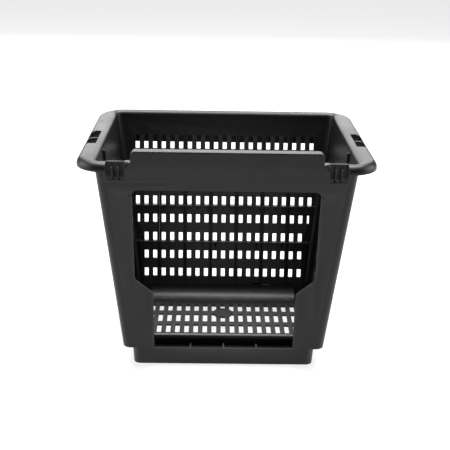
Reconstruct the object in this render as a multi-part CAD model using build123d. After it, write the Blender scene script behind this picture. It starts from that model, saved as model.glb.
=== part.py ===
"""Florist's open-fronted nesting basket, one polypropylene moulding modelled as touching regions."""
import math
import os

from build123d import *

# ---------------------------------------------------------------- overall sizes, mm
OVERALL_WIDTH = 398.0          # over the rolled rim, left to right
OVERALL_DEPTH = 318.0          # over the rolled rim, front to back
RIM_TOP = 321.0                # crest of the rolled rim above the ground
WALL = 2.8                     # moulded wall thickness

# walls
RIM_OUT_X = 23.75              # rim beyond the side walls, at its crest
RIM_OUT_Y = 14.72              # rim beyond the front and rear walls, at its crest
SIDE_DRAFT = 5.7               # degrees
END_DRAFT = 8.0                # degrees
CORNER_R = 12.0                # outside vertical corner radius

# foot
STEP_Z = 28.0                  # underside of the side steps, and top of the front sill
STEP_WIDTH = 14.0              # side walls beyond the foot, at the step
FOOT_TAPER_X = 1.0             # how much narrower the foot is at the ground, each side
FOOT_TAPER_Y = 5.1
FOOT_CORNER_R = 10.0
FOOT_SPLIT = 2.0               # from the foot's corner to the joint with its front and rear

# rolled rim
RIM_HEIGHT = 12.0
RIM_CORNER_R = 42.0
RIM_OUTER_ROUND = 9.8
RIM_INNER_ROUND = 8.0
RIM_ROOT = 3.2                 # extra thickness where the rim joins the wall
RIM_CORNER_ARM = 15.0          # straight length of rim kept with each corner
GRIP_SLOT_CENTRE_Y = -24.0
GRIP_SLOT_LENGTH = 69.0
GRIP_SLOT_REACH = 18.0         # slot's inner edge from the outside of the rim
GRIP_SKIRT_DROP = 4.0          # top of the rim's outer skirt in the slot, below the crest
GRIP_DIVIDER = 2.6
GRIP_DIVIDER_DROP = 1.4        # top of the divider below the crest
GRIP_END_WEB = 2.0

# front band, lip and notches
BAND_OUT = 12.0                # outside of the band beyond the wall
BAND_DROP = 26.7               # bottom of the band below the rim's crest
BAND_INSET = 9.6               # end of the band from the outside of the side wall
BAND_CORNER_R = 7.0
LIP_RISE = 16.5                # top of the lip above the rim's crest
LIP_SHOULDER = 8.0             # from the notch to the raised part of the lip
LIP_CORNER_R = 7.0
LIP_EDGE_ROUND = 1.8
NOTCH_WIDTH = 24.0
NOTCH_DROP = 23.8              # bottom of the notch below the rim's crest
NOTCH_WALL_DROP = 1.0          # top of the bare wall in a notch below the rim's crest
NOTCH_RIBS = 2
NOTCH_RIB = 1.4
NOTCH_RIB_DROP = 7.0           # top of a notch rib below the rim's crest

# front opening
OPENING_TOP_DROP = 42.0        # top of the opening below the rim's crest
OPENING_SHOULDER_Z = 143.0
OPENING_KNEE_Z = 120.5
STILE_WIDTH = 32.0             # beside the opening, at its shoulder
STILE_FOOT_WIDTH = 46.0        # beside the opening, at the step
OPENING_TOP_R = 8.0
OPENING_SHOULDER_R = 10.0
BEAD_WIDTH = 3.2
BEAD_PROUD = 1.2

# rear wall perforation
COLUMN_PITCH = 14.0
HOLE_WIDTH = 6.4
HOLE_HEIGHT = 13.6
HOLE_CORNER_R = 0.6
NARROWEST_HOLE = 2.5           # a hole cut off by the field's edge is left out below this
ROW_PITCH = 30.0
LOWEST_ROW_Z = 58.6
TOP_ROW_DROP = 37.0            # top of the tall top row below the rim's crest
TOP_ROW_HEIGHT = 22.0
FIELD_MARGIN = 18.0            # from the outside of the side wall to the hole field

# ribs on the inside of the rear wall
UPRIGHT_RIB_COLUMNS = (1.5, 4.5, 7.5)
UPRIGHT_RIB = 1.4
UPRIGHT_RIB_PROUD = 1.0
UPRIGHT_RIB_DROP = 31.0
CROSS_RIB = 2.0
CROSS_RIB_PROUD = 4.6
CROSS_RIB_ROWS = (2, 4, 6)
CROSS_RIB_MARGIN = 8.7

# rear band hanging behind the top row
REAR_BAND_INSET = 24.0         # end of the band from the outside of the side wall
REAR_BAND_DROP = 51.0
REAR_BAND_RIB = 1.6

# floor
FLOOR_TOP = 20.0
TROUGH_WIDTH = 55.6            # from the outside of the foot's front to the floor's front edge
APRON_ROUND = 7.0
APRON_LAND = 1.0               # flat of the floor that belongs to its rolled front edge
FLOOR_HOLE_WIDTH = 7.0
FLOOR_HOLE_LENGTH = 26.4
FLOOR_HOLE_R = 1.0
FLOOR_MARGIN = 12.0            # least from a floor hole to the inside of the foot
FLOOR_ROW_PITCH = 37.6
FLOOR_FIRST_ROW = 50.4         # from the outside of the foot's rear to the first row
DISC_R = 15.0
DISC_PROUD = 0.5
COVE_R = 22.0
GUSSET_XS = (-48.0, 0.0, 48.0)
GUSSET = 2.0
GUSSET_TOP = 25.5
GUSSET_LENGTH = 17.0

# small ribs inside the front of the side walls
STACK_RIB_Y = -61.0
STACK_RIB = 1.8
STACK_RIB_PROUD = 4.0
STACK_RIB_DROPS = (59.0, 9.0)  # bottom and top below the rim's crest

FAR = 500.0


# ---------------------------------------------------------------- places that follow the sizes
def wall_x(z):
    return OVERALL_WIDTH / 2 - RIM_OUT_X - (RIM_TOP - z) * math.tan(math.radians(SIDE_DRAFT))


def wall_y(z):
    return OVERALL_DEPTH / 2 - RIM_OUT_Y - (RIM_TOP - z) * math.tan(math.radians(END_DRAFT))


def foot_x(z):
    return wall_x(STEP_Z) - STEP_WIDTH - FOOT_TAPER_X * (1 - z / STEP_Z)


def foot_y(z):
    return wall_y(STEP_Z) - FOOT_TAPER_Y * (1 - z / STEP_Z)


RIM_BOTTOM = RIM_TOP - RIM_HEIGHT
FLANGE_UNDER = RIM_TOP - WALL
RIM_SPLIT_X = OVERALL_WIDTH / 2 - RIM_CORNER_R - RIM_CORNER_ARM
RIM_SPLIT_Y = OVERALL_DEPTH / 2 - RIM_CORNER_R - RIM_CORNER_ARM
GRIP_SLOT_INNER_X = OVERALL_WIDTH / 2 - GRIP_SLOT_REACH
BAND_BOTTOM = RIM_TOP - BAND_DROP
BAND_HALF_X = wall_x(RIM_BOTTOM) - BAND_INSET
NOTCH_OUTER_X = OVERALL_WIDTH / 2 - RIM_CORNER_R
NOTCH_INNER_X = NOTCH_OUTER_X - NOTCH_WIDTH
NOTCH_BOTTOM = RIM_TOP - NOTCH_DROP
LIP_TOP = RIM_TOP + LIP_RISE
LIP_HALF_X = NOTCH_INNER_X - LIP_SHOULDER
OPENING_TOP = RIM_TOP - OPENING_TOP_DROP
OPENING_HALF_X = wall_x(OPENING_SHOULDER_Z) - STILE_WIDTH
OPENING_FOOT_HALF_X = wall_x(STEP_Z) - STILE_FOOT_WIDTH
TOP_ROW_Z = RIM_TOP - TOP_ROW_DROP - TOP_ROW_HEIGHT / 2
FULL_ROWS = 1 + int((TOP_ROW_Z - LOWEST_ROW_Z - (TOP_ROW_HEIGHT + HOLE_HEIGHT) / 2) / ROW_PITCH)
REAR_BAND_BOTTOM = RIM_TOP - REAR_BAND_DROP
REAR_BAND_HALF_X = wall_x(REAR_BAND_BOTTOM) - REAR_BAND_INSET
FLOOR_FRONT_Y = TROUGH_WIDTH - foot_y(FLOOR_TOP)
FLOOR_FIRST_ROW_Y = foot_y(FLOOR_TOP) - FLOOR_FIRST_ROW
FLOOR_SPLIT_Y = FLOOR_FRONT_Y + APRON_ROUND + APRON_LAND
FLOOR_ROOM = FLOOR_FIRST_ROW_Y - FLOOR_HOLE_LENGTH / 2 - FLOOR_SPLIT_Y
FLOOR_ROWS = 1 + int(FLOOR_ROOM / FLOOR_ROW_PITCH)
DISC_Y = FLOOR_FIRST_ROW_Y - FLOOR_ROW_PITCH / 2


# ---------------------------------------------------------------- helpers
def rounded_face(half_x, half_y, radius, z):
    return Pos(0, 0, z) * RectangleRounded(2 * half_x, 2 * half_y, radius)


def tapered(z0, z1, inset, half_x, half_y, radius):
    """Solid between two heights whose sides follow half_x(z) and half_y(z), less an inset."""
    faces = [
        rounded_face(half_x(z) - inset, half_y(z) - inset, radius - inset, z).face()
        for z in (z0, z1)
    ]
    return loft(faces, ruled=True)


def wall_block(z0, z1, inset=0.0):
    return tapered(z0, z1, inset, wall_x, wall_y, CORNER_R)


def foot_block(z0, z1, inset=0.0):
    return tapered(z0, z1, inset, foot_x, foot_y, FOOT_CORNER_R)


def span(x0, x1, y0, y1, z0, z1):
    """Box between two corners."""
    centre = Pos((x0 + x1) / 2, (y0 + y1) / 2, (z0 + z1) / 2)
    return centre * Box(abs(x1 - x0), abs(y1 - y0), abs(z1 - z0))


def prism_xz(points, y0, y1):
    """Polygon in X and Z, extruded from y0 to y1."""
    face = make_face(Polyline(*[(x, 0, z) for x, z in points], close=True))
    return Pos(0, y0, 0) * extrude(face, amount=y1 - y0, dir=(0, 1, 0))


def prism_yz(points, x0, x1):
    """Polygon in Y and Z, extruded from x0 to x1."""
    face = make_face(Polyline(*[(0, y, z) for y, z in points], close=True))
    return Pos(x0, 0, 0) * extrude(face, amount=x1 - x0, dir=(1, 0, 0))


def flat_zone_x(z0, z1, y0, y1, margin=1.0):
    """The part of the front and rear walls between the rounded corners."""
    a = wall_x(z0) - CORNER_R - margin
    b = wall_x(z1) - CORNER_R - margin
    return prism_xz([(-a, z0), (a, z0), (b, z1), (-b, z1)], y0, y1)


def flat_zone_y(z0, z1, x0, x1, margin=1.0):
    """The part of the side walls between the rounded corners."""
    a = wall_y(z0) - CORNER_R - margin
    b = wall_y(z1) - CORNER_R - margin
    return prism_yz([(-a, z0), (a, z0), (b, z1), (-b, z1)], x0, x1)


def slab(sign, z0, z1, near, far, x0, x1):
    """Plate parallel to an end wall, between two distances outside it; sign is -1 for the front."""
    points = [
        (sign * (wall_y(z0) + near), z0),
        (sign * (wall_y(z0) + far), z0),
        (sign * (wall_y(z1) + far), z1),
        (sign * (wall_y(z1) + near), z1),
    ]
    return prism_yz(points, x0, x1)


# ---------------------------------------------------------------- walls
def make_tub():
    """Walls and the steps above the foot, before the openings are cut."""
    body = wall_block(STEP_Z, RIM_BOTTOM)
    body -= wall_block(STEP_Z + WALL, RIM_BOTTOM + 1, WALL)
    body -= foot_block(STEP_Z - 1, STEP_Z + WALL + 1, WALL)
    return body


def opening_points(grow):
    """Half-outline of the front opening, from the sill up, grown outwards by a distance."""
    slope = grow * 0.41
    return [
        (OPENING_FOOT_HALF_X + grow, STEP_Z - 2),
        (OPENING_FOOT_HALF_X + grow, OPENING_KNEE_Z + slope),
        (OPENING_HALF_X + grow, OPENING_SHOULDER_Z + slope),
        (OPENING_HALF_X + grow, OPENING_TOP + grow),
    ]


def opening_cutter(grow=0.0, y0=-FAR, y1=0.0):
    right = opening_points(grow)
    left = [(-x, z) for x, z in reversed(right)]
    body = prism_xz(right + left, y0, y1)
    along = body.edges().filter_by(Axis.Y)
    top = along.group_by(Axis.Z)[-1]
    body = fillet(top, OPENING_TOP_R + grow)
    along = body.edges().filter_by(Axis.Y)
    knees = [e for e in along if abs(e.center().Z - OPENING_SHOULDER_Z) < 8 + grow]
    body = fillet(knees, OPENING_SHOULDER_R + grow)
    return body


def hole_prism(x, z, width, height, y0, y1):
    body = span(x - width / 2, x + width / 2, y0, y1, z - height / 2, z + height / 2)
    return fillet(body.edges().filter_by(Axis.Y), HOLE_CORNER_R)


def rear_holes():
    """All the cutters for the rear wall's hole field, trimmed to its slanted sides."""
    rows = [(LOWEST_ROW_Z + row * ROW_PITCH, HOLE_HEIGHT) for row in range(FULL_ROWS)]
    rows.append((TOP_ROW_Z, TOP_ROW_HEIGHT))
    cutters = []
    for z, height in rows:
        y = wall_y(z)
        limit = wall_x(z) - FIELD_MARGIN
        columns = int((limit + HOLE_WIDTH / 2 - NARROWEST_HOLE) / COLUMN_PITCH)
        for column in range(-columns, columns + 1):
            x = column * COLUMN_PITCH
            left = max(x - HOLE_WIDTH / 2, -limit)
            right = min(x + HOLE_WIDTH / 2, limit)
            cutters.append(
                hole_prism((left + right) / 2, z, right - left, height, y - 12, y + 9)
            )
    return cutters


def upright_rib_places():
    return [side * column * COLUMN_PITCH for column in UPRIGHT_RIB_COLUMNS for side in (-1, 1)]


def upright_ribs():
    """Low upright ribs on the inside of the rear wall, on the webs between holes."""
    bottom = FLOOR_TOP + COVE_R
    return [
        slab(1, bottom, RIM_TOP - UPRIGHT_RIB_DROP, -WALL - UPRIGHT_RIB_PROUD, -WALL,
             x - UPRIGHT_RIB / 2, x + UPRIGHT_RIB / 2)
        for x in upright_rib_places()
    ]


def end_sheet(sign):
    """Flat of the front or rear wall between its corners, before it is pierced."""
    sheet = slab(sign, STEP_Z, RIM_BOTTOM, -WALL, 0, -FAR, FAR)
    return sheet & flat_zone_x(STEP_Z, RIM_BOTTOM, 0, sign * FAR)


def make_rear_wall():
    body = end_sheet(1).fuse(*upright_ribs())
    return body.cut(*rear_holes())


def make_corner(tub, x_sign, y_sign):
    """One upright corner post, between the flat zones of two walls."""
    body = tub & span(0, x_sign * FAR, 0, y_sign * FAR, STEP_Z, RIM_BOTTOM)
    body -= flat_zone_x(STEP_Z, RIM_BOTTOM, -FAR, FAR)
    return body - flat_zone_y(STEP_Z, RIM_BOTTOM, -FAR, FAR)


def make_side_wall(side):
    z0 = STEP_Z + WALL
    points = [
        (side * (wall_x(z0) - WALL), z0),
        (side * wall_x(z0), z0),
        (side * wall_x(RIM_BOTTOM), RIM_BOTTOM),
        (side * (wall_x(RIM_BOTTOM) - WALL), RIM_BOTTOM),
    ]
    body = prism_xz(points, -FAR, FAR)
    return body & flat_zone_y(STEP_Z, RIM_BOTTOM, 0, side * FAR)


def make_step(tub, side):
    """The shelf that carries a side wall out beyond the foot."""
    body = tub & flat_zone_y(STEP_Z, RIM_BOTTOM, 0, side * FAR)
    return body & span(-FAR, FAR, -FAR, FAR, STEP_Z, STEP_Z + WALL)


def make_front_parts():
    """The two stiles beside the front opening and the header over it."""
    front = end_sheet(-1) - opening_cutter()
    header = front & span(-FAR, FAR, -FAR, 0, OPENING_TOP, RIM_BOTTOM)
    below = front & span(-FAR, FAR, -FAR, 0, STEP_Z, OPENING_TOP)
    left = below & span(-FAR, 0, -FAR, 0, STEP_Z, RIM_BOTTOM)
    right = below & span(0, FAR, -FAR, 0, STEP_Z, RIM_BOTTOM)
    return left, right, header


def make_opening_bead():
    """Low raised beads up both sides of the front opening, on the outer face of the wall."""
    ring = opening_cutter(BEAD_WIDTH) - opening_cutter()
    return ring & slab(-1, STEP_Z, OPENING_TOP - OPENING_TOP_R, 0, BEAD_PROUD, -FAR, FAR)


def make_cross_rib(row, parts):
    """Low rib across the rear wall just under one row of holes."""
    top = LOWEST_ROW_Z + row * ROW_PITCH - HOLE_HEIGHT / 2
    half = wall_x(top) - CROSS_RIB_MARGIN
    body = slab(1, top - CROSS_RIB, top, -WALL - CROSS_RIB_PROUD, -WALL, -half, half)
    return body - parts["rear_wall"] - parts["rear_left_post"] - parts["rear_right_post"]


def make_stack_rib(side):
    """Small upright rib inside a side wall, where the next basket down stops."""
    z0, z1 = [RIM_TOP - drop for drop in STACK_RIB_DROPS]
    inner0 = wall_x(z0) - WALL
    inner1 = wall_x(z1) - WALL
    points = [
        (side * inner0, z0),
        (side * inner1, z1),
        (side * (inner1 - STACK_RIB_PROUD), z1),
    ]
    return prism_xz(points, STACK_RIB_Y - STACK_RIB / 2, STACK_RIB_Y + STACK_RIB / 2)


# ---------------------------------------------------------------- rolled rim
def make_rim_block():
    """Outer shape of the rolled rim, filled in."""
    outer = rounded_face(OVERALL_WIDTH / 2, OVERALL_DEPTH / 2, RIM_CORNER_R, RIM_BOTTOM)
    body = extrude(outer, amount=RIM_HEIGHT, dir=(0, 0, 1))
    return fillet(body.faces().sort_by(Axis.Z)[-1].edges(), RIM_OUTER_ROUND)


def make_rim_hollow():
    """The space inside the rolled rim, open underneath."""
    skin = rounded_face(OVERALL_WIDTH / 2 - WALL, OVERALL_DEPTH / 2 - WALL,
                        RIM_CORNER_R - WALL, RIM_BOTTOM - 1)
    hollow = extrude(skin, amount=RIM_HEIGHT + 1 - WALL, dir=(0, 0, 1))
    hollow = fillet(hollow.faces().sort_by(Axis.Z)[-1].edges(), RIM_OUTER_ROUND - WALL)
    return hollow - wall_block(RIM_BOTTOM - 2, RIM_TOP, -RIM_ROOT)


def make_rim_ring(block, hollow):
    """The whole rolled rim as one closed ring, hollow underneath."""
    body = block - wall_block(RIM_BOTTOM - 1, RIM_TOP + 1, WALL)
    inner = body.faces().sort_by(Axis.Z)[-1].inner_wires()[0]
    body = fillet(inner.edges(), RIM_INNER_ROUND)
    return body - hollow


def under_rim(band, hollow):
    """A hanging band, trimmed above the rim's lower edge to the space inside the rim."""
    return (band & span(-FAR, FAR, -FAR, FAR, 0, RIM_BOTTOM)) + (band & hollow)


def grip_slot(side):
    """Cutter for the grip slot: through the top, and down the outer face as far as its skirt."""
    half = GRIP_SLOT_LENGTH / 2
    y0 = GRIP_SLOT_CENTRE_Y - half
    y1 = GRIP_SLOT_CENTRE_Y + half
    skin = side * (OVERALL_WIDTH / 2 - WALL)
    well = span(side * GRIP_SLOT_INNER_X, skin, y0, y1, RIM_BOTTOM - 1, RIM_TOP + 1)
    brow = span(side * GRIP_SLOT_INNER_X, side * FAR, y0, y1, RIM_TOP - GRIP_SKIRT_DROP,
                RIM_TOP + 1)
    return well + brow


def rim_web(block, side, y, thickness, drop):
    """Upright web across the rim's channel at one place along a side, lower than its crest."""
    body = span(side * RIM_SPLIT_X, side * (OVERALL_WIDTH / 2 - WALL), y - thickness / 2,
                y + thickness / 2, RIM_BOTTOM, RIM_TOP)
    body &= Pos(0, 0, -drop) * block
    return body - wall_block(RIM_BOTTOM - 1, RIM_TOP + 1, -RIM_ROOT)


def make_rim_parts(block, ring):
    """The ring cut into straight lengths, corners and the dividers in the grip slots."""
    parts = {}
    split_x = RIM_SPLIT_X
    split_y = RIM_SPLIT_Y
    parts["rim_rear"] = ring & span(-split_x, split_x, 0, FAR, RIM_BOTTOM, RIM_TOP)
    for name, side in (("left", -1), ("right", 1)):
        straight = ring & span(0, side * FAR, -split_y, split_y, RIM_BOTTOM, RIM_TOP)
        straight -= grip_slot(side)
        for end in (-1, 1):
            y = GRIP_SLOT_CENTRE_Y + end * (GRIP_SLOT_LENGTH / 2 + GRIP_END_WEB / 2)
            straight += rim_web(block, side, y, GRIP_END_WEB, WALL / 2)
        parts["rim_" + name] = straight
        divider = rim_web(block, side, GRIP_SLOT_CENTRE_Y, GRIP_DIVIDER, GRIP_DIVIDER_DROP)
        parts["rim_slot_divider_" + name] = divider - straight
        rear = span(side * split_x, side * FAR, split_y, FAR, RIM_BOTTOM, RIM_TOP)
        parts["rim_rear_" + name + "_corner"] = ring & rear
        front = span(side * NOTCH_OUTER_X, side * FAR, -split_y, -FAR, RIM_BOTTOM, RIM_TOP)
        parts["rim_front_" + name + "_corner"] = ring & front
    return parts


# ---------------------------------------------------------------- front band and lip
def make_front_lip():
    """Hollow beam across the front between the notches, raised in the middle."""
    outer = slab(-1, RIM_BOTTOM, LIP_TOP, -WALL, BAND_OUT, -NOTCH_INNER_X, NOTCH_INNER_X)
    for side in (-1, 1):
        outer -= span(side * LIP_HALF_X, side * FAR, -FAR, 0, RIM_TOP, LIP_TOP + 1)
    top_edges = [
        e for e in outer.edges()
        if abs(e.center().Z - LIP_TOP) < 0.1 and abs(abs(e.center().X) - LIP_HALF_X) < 0.1
    ]
    outer = fillet(top_edges, LIP_CORNER_R)
    long_edges = [
        e for e in outer.edges()
        if abs(e.center().Z - LIP_TOP) < 0.1 and e.length > LIP_HALF_X
    ]
    outer = fillet(long_edges, LIP_EDGE_ROUND)
    low = slab(-1, RIM_BOTTOM - 1, FLANGE_UNDER, 0, BAND_OUT - WALL,
               WALL - NOTCH_INNER_X, NOTCH_INNER_X - WALL)
    high = slab(-1, FLANGE_UNDER - 1, LIP_TOP - WALL, 0, BAND_OUT - WALL,
                WALL - LIP_HALF_X, LIP_HALF_X - WALL)
    return outer - low - high


def make_front_band():
    """Flat skirt hanging in front of the wall, cut through at the two notches."""
    body = slab(-1, BAND_BOTTOM, FLANGE_UNDER, BAND_OUT - WALL, BAND_OUT,
                -BAND_HALF_X, BAND_HALF_X)
    corners = [
        e for e in body.edges()
        if abs(e.center().Z - BAND_BOTTOM) < 0.1 and abs(e.center().X) > BAND_HALF_X - 0.1
    ]
    body = fillet(corners, BAND_CORNER_R)
    body -= span(-NOTCH_INNER_X, NOTCH_INNER_X, -FAR, 0, RIM_BOTTOM, FAR)
    for side in (-1, 1):
        body -= span(side * NOTCH_INNER_X, side * NOTCH_OUTER_X, -FAR, 0, NOTCH_BOTTOM, FAR)
    return body


def make_notch_web(side):
    """The wall left standing behind a notch."""
    return slab(-1, RIM_BOTTOM, RIM_TOP - NOTCH_WALL_DROP, -WALL, 0,
                side * NOTCH_INNER_X, side * NOTCH_OUTER_X)


def make_notch_rib(side, number):
    """Upright rib between the wall and the back of the band, seen inside a notch."""
    x = NOTCH_INNER_X + number * NOTCH_WIDTH / (NOTCH_RIBS + 1)
    return slab(-1, BAND_BOTTOM, RIM_TOP - NOTCH_RIB_DROP, 0, BAND_OUT - WALL,
                side * (x - NOTCH_RIB / 2), side * (x + NOTCH_RIB / 2))


def make_rear_band():
    """Flat skirt hanging behind the rear wall's top row of holes."""
    half = REAR_BAND_HALF_X
    return slab(1, REAR_BAND_BOTTOM, FLANGE_UNDER, BAND_OUT - WALL, BAND_OUT, -half, half)


def make_rear_band_ribs():
    """Identical upright ribs that tie the rear band back to the wall."""
    half = REAR_BAND_HALF_X
    xs = upright_rib_places() + [-half + REAR_BAND_RIB / 2, half - REAR_BAND_RIB / 2]
    ribs = [
        slab(1, REAR_BAND_BOTTOM, RIM_BOTTOM, 0, BAND_OUT - WALL,
             x - REAR_BAND_RIB / 2, x + REAR_BAND_RIB / 2)
        for x in xs
    ]
    return Compound(ribs)


# ---------------------------------------------------------------- foot and floor
def make_foot_ring():
    return foot_block(0, STEP_Z) - foot_block(-1, STEP_Z + 1, WALL)


def make_foot_parts(ring):
    split = foot_x(0) - FOOT_CORNER_R - FOOT_SPLIT
    parts = {
        "front_sill": ring & span(-split, split, -FAR, 0, 0, STEP_Z),
        "foot_rear": ring & span(-split, split, 0, FAR, 0, STEP_Z),
        "foot_left": ring & span(-FAR, -split, -FAR, FAR, 0, STEP_Z),
        "foot_right": ring & span(split, FAR, -FAR, FAR, 0, STEP_Z),
    }
    return parts


def floor_profile():
    """Floor sheet that rolls down at the front into an apron."""
    under = FLOOR_TOP - WALL
    points = [
        (FAR, FLOOR_TOP),
        (FLOOR_FRONT_Y, FLOOR_TOP),
        (FLOOR_FRONT_Y, WALL),
        (FLOOR_FRONT_Y + WALL, WALL),
        (FLOOR_FRONT_Y + WALL, under),
        (FAR, under),
    ]
    body = prism_yz(points, -FAR, FAR)
    edges = body.edges().filter_by(Axis.X)
    outer = [e for e in edges
             if abs(e.center().Z - FLOOR_TOP) < 0.1 and abs(e.center().Y - FLOOR_FRONT_Y) < 0.1]
    body = fillet(outer, APRON_ROUND)
    edges = body.edges().filter_by(Axis.X)
    inner = [e for e in edges
             if abs(e.center().Z - under) < 0.1 and abs(e.center().Y - FLOOR_FRONT_Y) < 5]
    return fillet(inner, APRON_ROUND - WALL)


def floor_holes():
    cutters = []
    room = foot_x(FLOOR_TOP) - WALL - FLOOR_MARGIN - FLOOR_HOLE_WIDTH / 2
    columns = int(room / COLUMN_PITCH)
    for row in range(FLOOR_ROWS):
        y = FLOOR_FIRST_ROW_Y - row * FLOOR_ROW_PITCH
        for column in range(-columns, columns + 1):
            x = column * COLUMN_PITCH
            body = span(x - FLOOR_HOLE_WIDTH / 2, x + FLOOR_HOLE_WIDTH / 2,
                        y - FLOOR_HOLE_LENGTH / 2, y + FLOOR_HOLE_LENGTH / 2,
                        FLOOR_TOP - WALL - 1, FLOOR_TOP + 1)
            cutters.append(fillet(body.edges().filter_by(Axis.Z), FLOOR_HOLE_R))
    return cutters


def disc_zone(height):
    return Pos(0, DISC_Y, FLOOR_TOP - WALL + height / 2) * Cylinder(DISC_R, height)


def make_floor_parts():
    sheet = floor_profile() & foot_block(0, STEP_Z, WALL)
    grille = sheet & span(-FAR, FAR, FLOOR_SPLIT_Y, FAR, 0, FAR)
    grille = grille.cut(*floor_holes())
    grille = grille.cut(disc_zone(WALL + 10))
    apron = sheet & span(-FAR, FAR, -FAR, FLOOR_SPLIT_Y, 0, FAR)
    trough = foot_block(0, WALL, WALL) & span(-FAR, FAR, -FAR, FLOOR_FRONT_Y + WALL, 0, WALL)
    return {
        "floor_grille": grille,
        "floor_disc": disc_zone(WALL + DISC_PROUD),
        "floor_apron": apron,
        "trough_floor": trough,
    }


def make_cove():
    """Rounded foot of the rear wall, filling the corner between the wall and the floor."""
    wall_top = FLOOR_TOP + COVE_R
    floor_y = foot_y(FLOOR_TOP) - WALL - COVE_R
    start = (0, wall_y(wall_top) - WALL, wall_top)
    middle = (0, floor_y + COVE_R * 0.78, FLOOR_TOP + COVE_R * 0.29)
    end = (0, floor_y, FLOOR_TOP)
    outline = ThreePointArc(start, middle, end)
    outline += Polyline(end, (0, foot_y(FLOOR_TOP) - WALL, FLOOR_TOP),
                        (0, foot_y(STEP_Z) - WALL, STEP_Z), start)
    face = make_face(outline)
    half = foot_x(FLOOR_TOP) - WALL - FOOT_CORNER_R
    return Pos(-half, 0, 0) * extrude(face, amount=2 * half, dir=(1, 0, 0))


def make_gusset(x):
    """Small upright web between the sill and the floor of the trough."""
    low = -(foot_y(WALL) - WALL)
    high = -(foot_y(GUSSET_TOP) - WALL)
    points = [
        (low, WALL),
        (high, GUSSET_TOP),
        (high + GUSSET_LENGTH, GUSSET_TOP),
        (low + GUSSET_LENGTH + 3, WALL),
    ]
    return prism_yz(points, x - GUSSET / 2, x + GUSSET / 2)


# ---------------------------------------------------------------- assembly
def make_all():
    tub = make_tub()
    rim_block = make_rim_block()
    rim_hollow = make_rim_hollow()
    rim = make_rim_ring(rim_block, rim_hollow)
    parts = {"rear_wall": make_rear_wall()}
    for name, side in (("left", -1), ("right", 1)):
        parts[name + "_wall"] = make_side_wall(side)
        parts["step_" + name] = make_step(tub, side)
        parts["rear_" + name + "_post"] = make_corner(tub, side, 1)
        parts["front_" + name + "_post"] = make_corner(tub, side, -1)
        parts["notch_web_" + name] = make_notch_web(side)
        parts["stack_rib_" + name] = make_stack_rib(side)
        for number, place in enumerate(("inner", "outer"), 1):
            parts["notch_rib_" + name + "_" + place] = make_notch_rib(side, number)
    left, right, header = make_front_parts()
    parts["front_left_stile"] = left
    parts["front_right_stile"] = right
    parts["front_header"] = header
    parts["opening_bead"] = make_opening_bead()
    for name, row in zip(("lower", "middle", "upper"), CROSS_RIB_ROWS):
        parts["cross_rib_" + name] = make_cross_rib(row, parts)
    parts.update(make_rim_parts(rim_block, rim))
    parts["front_lip"] = make_front_lip()
    parts["front_band"] = under_rim(make_front_band(), rim_hollow)
    parts["rear_band"] = under_rim(make_rear_band(), rim_hollow)
    parts["rear_band_ribs"] = make_rear_band_ribs()
    parts.update(make_foot_parts(make_foot_ring()))
    parts.update(make_floor_parts())
    parts["rear_cove"] = make_cove()
    for name, x in zip(("left", "middle", "right"), GUSSET_XS):
        parts["sill_gusset_" + name] = make_gusset(x)
    return parts


def main():
    os.makedirs("parts", exist_ok=True)
    for name, shape in make_all().items():
        export_step(shape, "parts/" + name + ".step")


main()
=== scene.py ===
"""Looks of the open-fronted florist basket: black moulded polypropylene in a pale studio."""
import math

import bmesh
import bpy
from mathutils import Matrix, Vector


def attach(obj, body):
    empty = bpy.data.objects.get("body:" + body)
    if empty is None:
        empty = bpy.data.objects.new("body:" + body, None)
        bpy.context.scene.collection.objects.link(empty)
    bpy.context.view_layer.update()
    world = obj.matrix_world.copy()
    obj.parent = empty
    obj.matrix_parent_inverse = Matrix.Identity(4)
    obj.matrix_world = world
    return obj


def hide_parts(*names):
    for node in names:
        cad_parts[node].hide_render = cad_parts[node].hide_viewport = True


# ---------------------------------------------------------------- sizes, metres
EDGE_ROUND = 0.0007            # radius that the shading gives to moulded edges
SHARP_ANGLE = math.radians(28)
FACE_AREA_WEIGHT = 100         # large faces lead the weighted normals
WELD = 0.000001                # vertices of one CAD region closer than this are one
SLIVER = 0.00004               # vertices of the joined moulding closer than this are merged

# camera
CAMERA_PLACE = (-0.01905, -1.25475, 0.6435)
CAMERA_PITCH = math.radians(20.23)
CAMERA_YAW = math.radians(-0.9)
CAMERA_ROLL = math.radians(1.03)
FOCAL_LENGTH = 71.26
SENSOR = 36.0

# studio
FLOOR_HALF = 7.0
AMBIENT = 0.04
OVERHEAD_WATTS = 190
BACKLIGHT_WATTS = 40
SIDE_WATTS = 14

# black polypropylene
DARK = (0.0035, 0.0035, 0.0032, 1)
WORN_PALE = (0.060, 0.060, 0.055, 1)
WEAR_SHARE = 0.55
SCUFF_SHARE = 0.12
DUST_SHARE = 0.05
GRAIN_SHARE = 0.10
ORANGE_PEEL_SHARE = 0.45
RELIEF = 0.0004                # full height of the grain

# pale floor
FLOOR_COLOUR = (0.22, 0.22, 0.22, 1)
FLOOR_GLOW = 0.80
WHITE = (1, 1, 1, 1)


# ---------------------------------------------------------------- node helpers
def add(nodes, kind, **values):
    node = nodes.new(kind)
    for name, value in values.items():
        setattr(node, name, value)
    return node


def noise(tree, coords, scale, detail=2.0, roughness=0.5):
    node = add(tree.nodes, "ShaderNodeTexNoise")
    node.inputs["Scale"].default_value = scale
    node.inputs["Detail"].default_value = detail
    node.inputs["Roughness"].default_value = roughness
    tree.links.new(coords, node.inputs["Vector"])
    return node.outputs["Fac"]


def remap(tree, value, low, high, to_low, to_high):
    node = add(tree.nodes, "ShaderNodeMapRange")
    node.inputs["From Min"].default_value = low
    node.inputs["From Max"].default_value = high
    node.inputs["To Min"].default_value = to_low
    node.inputs["To Max"].default_value = to_high
    tree.links.new(value, node.inputs["Value"])
    return node.outputs["Result"]


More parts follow.
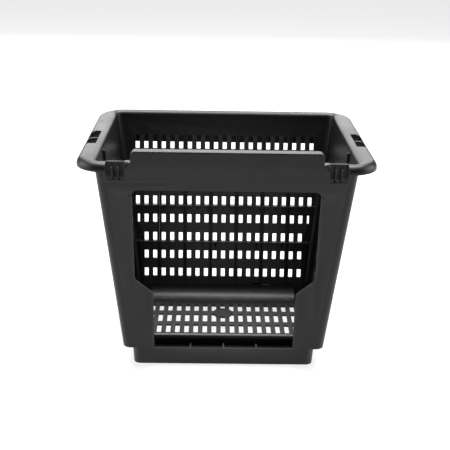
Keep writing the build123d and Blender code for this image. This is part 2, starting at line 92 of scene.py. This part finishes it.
def combine(tree, operation, a, b):
    node = add(tree.nodes, "ShaderNodeMath", operation=operation)
    for socket, value in zip(node.inputs, (a, b)):
        if isinstance(value, (int, float)):
            socket.default_value = value
        else:
            tree.links.new(value, socket)
    return node.outputs["Value"]


def stretched(tree, coords, scale):
    node = add(tree.nodes, "ShaderNodeMapping")
    node.inputs["Scale"].default_value = scale
    tree.links.new(coords, node.inputs["Vector"])
    return node.outputs["Vector"]


# ---------------------------------------------------------------- materials
def black_polypropylene():
    """Satin black moulding: fine spark grain, flow marks, scuffs and paler worn edges."""
    mat = bpy.data.materials.new("black_polypropylene")
    mat.use_nodes = True
    tree = mat.node_tree
    shader = tree.nodes["Principled BSDF"]
    coords = add(tree.nodes, "ShaderNodeTexCoord").outputs["Object"]

    grain = noise(tree, coords, 1500.0, 2.0, 0.6)
    orange_peel = noise(tree, coords, 120.0, 2.0)
    flow = noise(tree, stretched(tree, coords, (9.0, 9.0, 2.2)), 1.0, 4.0, 0.6)
    scuffs = noise(tree, stretched(tree, coords, (60.0, 60.0, 400.0)), 1.0, 3.0, 0.7)
    scuff = remap(tree, scuffs, 0.60, 0.74, 0.0, 1.0)
    dust = remap(tree, noise(tree, coords, 26.0, 5.0, 0.65), 0.5, 0.8, 0.0, 1.0)

    pointiness = add(tree.nodes, "ShaderNodeNewGeometry").outputs["Pointiness"]
    worn = remap(tree, pointiness, 0.53, 0.60, 0.0, 1.0)

    pale = combine(tree, "MULTIPLY", worn, remap(tree, dust, 0.0, 1.0, 0.45, 1.0))
    worn_share = combine(tree, "MULTIPLY", pale, WEAR_SHARE)
    pale = combine(tree, "ADD", worn_share, combine(tree, "MULTIPLY", scuff, SCUFF_SHARE))
    ramp = add(tree.nodes, "ShaderNodeValToRGB")
    ramp.color_ramp.elements[0].color = DARK
    ramp.color_ramp.elements[1].color = WORN_PALE
    tree.links.new(pale, ramp.inputs["Fac"])
    tree.links.new(ramp.outputs["Color"], shader.inputs["Base Color"])

    rough = remap(tree, flow, 0.3, 0.7, 0.32, 0.42)
    rough = combine(tree, "ADD", rough, combine(tree, "MULTIPLY", scuff, SCUFF_SHARE))
    rough = combine(tree, "ADD", rough, combine(tree, "MULTIPLY", dust, DUST_SHARE))
    tree.links.new(rough, shader.inputs["Roughness"])
    shader.inputs["IOR"].default_value = 1.5
    shader.inputs["Specular IOR Level"].default_value = 0.3

    height = combine(tree, "MULTIPLY", grain, GRAIN_SHARE)
    height = combine(tree, "ADD", height, combine(tree, "MULTIPLY", orange_peel, ORANGE_PEEL_SHARE))
    bump = add(tree.nodes, "ShaderNodeBump")
    bump.inputs["Strength"].default_value = 0.22
    bump.inputs["Distance"].default_value = RELIEF
    edges = add(tree.nodes, "ShaderNodeBevel", samples=6)
    edges.inputs["Radius"].default_value = EDGE_ROUND
    tree.links.new(edges.outputs["Normal"], bump.inputs["Normal"])
    tree.links.new(height, bump.inputs["Height"])
    tree.links.new(bump.outputs["Normal"], shader.inputs["Normal"])
    return mat


def studio_floor():
    """Matt pale floor that glows a little, for an even white ground."""
    mat = bpy.data.materials.new("studio_floor")
    mat.use_nodes = True
    shader = mat.node_tree.nodes["Principled BSDF"]
    shader.inputs["Base Color"].default_value = FLOOR_COLOUR
    shader.inputs["Roughness"].default_value = 0.9
    shader.inputs["Specular IOR Level"].default_value = 0.0
    shader.inputs["Emission Color"].default_value = WHITE
    shader.inputs["Emission Strength"].default_value = FLOOR_GLOW
    return mat


# ---------------------------------------------------------------- object
def welded_copy(node):
    mesh = node.data.copy()
    bm = bmesh.new()
    bm.from_mesh(mesh)
    bmesh.ops.remove_doubles(bm, verts=bm.verts, dist=WELD)
    bm.to_mesh(mesh)
    bm.free()
    copy = bpy.data.objects.new(node.name + "_copy", mesh)
    bpy.context.scene.collection.objects.link(copy)
    return copy


def evaluated_mesh(obj):
    bpy.context.view_layer.update()
    return bpy.data.meshes.new_from_object(obj.evaluated_get(bpy.context.evaluated_depsgraph_get()))


def join_regions(nodes):
    """One closed mesh of all the touching CAD regions, without the faces between them."""
    copies = [welded_copy(node) for node in nodes]
    base = copies[0]
    for other in copies[1:]:
        union = base.modifiers.new("union", "BOOLEAN")
        union.operation = "UNION"
        union.solver = "MANIFOLD"
        union.object = other
    mesh = evaluated_mesh(base)
    for copy in copies:
        bpy.data.objects.remove(copy)
    return mesh


def clean(mesh):
    """Merges slivers, so that the shading rounds only real edges."""
    bm = bmesh.new()
    bm.from_mesh(mesh)
    bmesh.ops.remove_doubles(bm, verts=bm.verts, dist=SLIVER)
    bmesh.ops.dissolve_degenerate(bm, edges=bm.edges, dist=SLIVER)
    bm.to_mesh(mesh)
    bm.free()


def add_moulding(nodes, mat):
    """The whole basket as the one moulding that it is."""
    mesh = join_regions(nodes)
    clean(mesh)
    shell = bpy.data.objects.new("basket_moulding", mesh)
    bpy.context.scene.collection.objects.link(shell)
    mesh.shade_smooth()
    mesh.set_sharp_from_angle(angle=SHARP_ANGLE)
    weighted = shell.modifiers.new("normals", "WEIGHTED_NORMAL")
    weighted.keep_sharp = True
    weighted.weight = FACE_AREA_WEIGHT
    shell.data = evaluated_mesh(shell)
    shell.modifiers.clear()
    shell.data.materials.clear()
    shell.data.materials.append(mat)
    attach(shell, "root")
    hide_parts(*[node.name for node in nodes])
    return shell


# ---------------------------------------------------------------- studio
def add_floor():
    mesh = bpy.data.meshes.new("floor")
    bm = bmesh.new()
    bmesh.ops.create_grid(bm, x_segments=1, y_segments=1, size=FLOOR_HALF)
    bm.to_mesh(mesh)
    bm.free()
    floor = bpy.data.objects.new("floor", mesh)
    bpy.context.scene.collection.objects.link(floor)
    mesh.materials.append(studio_floor())


def add_softbox(name, place, target, width, height, watts):
    light = bpy.data.lights.new(name, "AREA")
    light.shape = "RECTANGLE"
    light.size = width
    light.size_y = height
    light.energy = watts
    obj = bpy.data.objects.new(name, light)
    bpy.context.scene.collection.objects.link(obj)
    aim = (Vector(target) - Vector(place)).to_track_quat("-Z", "Y")
    obj.matrix_world = Matrix.Translation(place) @ aim.to_matrix().to_4x4()


def add_lights():
    world = bpy.data.worlds.new("studio")
    bpy.context.scene.world = world
    world.use_nodes = True
    background = world.node_tree.nodes["Background"]
    background.inputs["Color"].default_value = WHITE
    background.inputs["Strength"].default_value = AMBIENT
    add_softbox("overhead", (0.0, 0.6, 2.2), (0.0, 0.1, 0.0), 2.4, 1.8, OVERHEAD_WATTS)
    add_softbox("backlight", (0.0, 2.8, 1.1), (0.0, 0.3, 0.1), 3.0, 1.2, BACKLIGHT_WATTS)
    for side, name in ((-1, "left"), (1, "right")):
        add_softbox(name, (side * 1.5, 0.1, 0.75), (0.0, 0.0, 0.25), 1.2, 1.0, SIDE_WATTS)


def add_camera():
    data = bpy.data.cameras.new("camera")
    data.sensor_width = SENSOR
    data.lens = FOCAL_LENGTH
    obj = bpy.data.objects.new("camera", data)
    bpy.context.scene.collection.objects.link(obj)
    right = Vector((math.cos(CAMERA_YAW), math.sin(CAMERA_YAW), 0))
    level = Vector((-math.sin(CAMERA_YAW), math.cos(CAMERA_YAW), 0))
    ahead = level * math.cos(CAMERA_PITCH) - Vector((0, 0, math.sin(CAMERA_PITCH)))
    up = right.cross(ahead)
    x_axis = math.cos(CAMERA_ROLL) * right + math.sin(CAMERA_ROLL) * up
    y_axis = math.cos(CAMERA_ROLL) * up - math.sin(CAMERA_ROLL) * right
    turn = Matrix((x_axis, y_axis, -ahead)).transposed().to_4x4()
    obj.matrix_world = Matrix.Translation(CAMERA_PLACE) @ turn
    bpy.context.scene.camera = obj


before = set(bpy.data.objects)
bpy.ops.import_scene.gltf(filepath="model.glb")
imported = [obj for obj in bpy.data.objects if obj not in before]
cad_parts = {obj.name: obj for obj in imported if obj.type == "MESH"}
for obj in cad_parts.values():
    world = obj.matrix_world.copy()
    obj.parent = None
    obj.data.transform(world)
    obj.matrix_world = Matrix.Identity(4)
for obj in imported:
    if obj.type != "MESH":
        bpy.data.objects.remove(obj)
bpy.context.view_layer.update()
bpy.context.scene.view_settings.view_transform = "Standard"
add_moulding(list(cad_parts.values()), black_polypropylene())
add_floor()
add_lights()
add_camera()
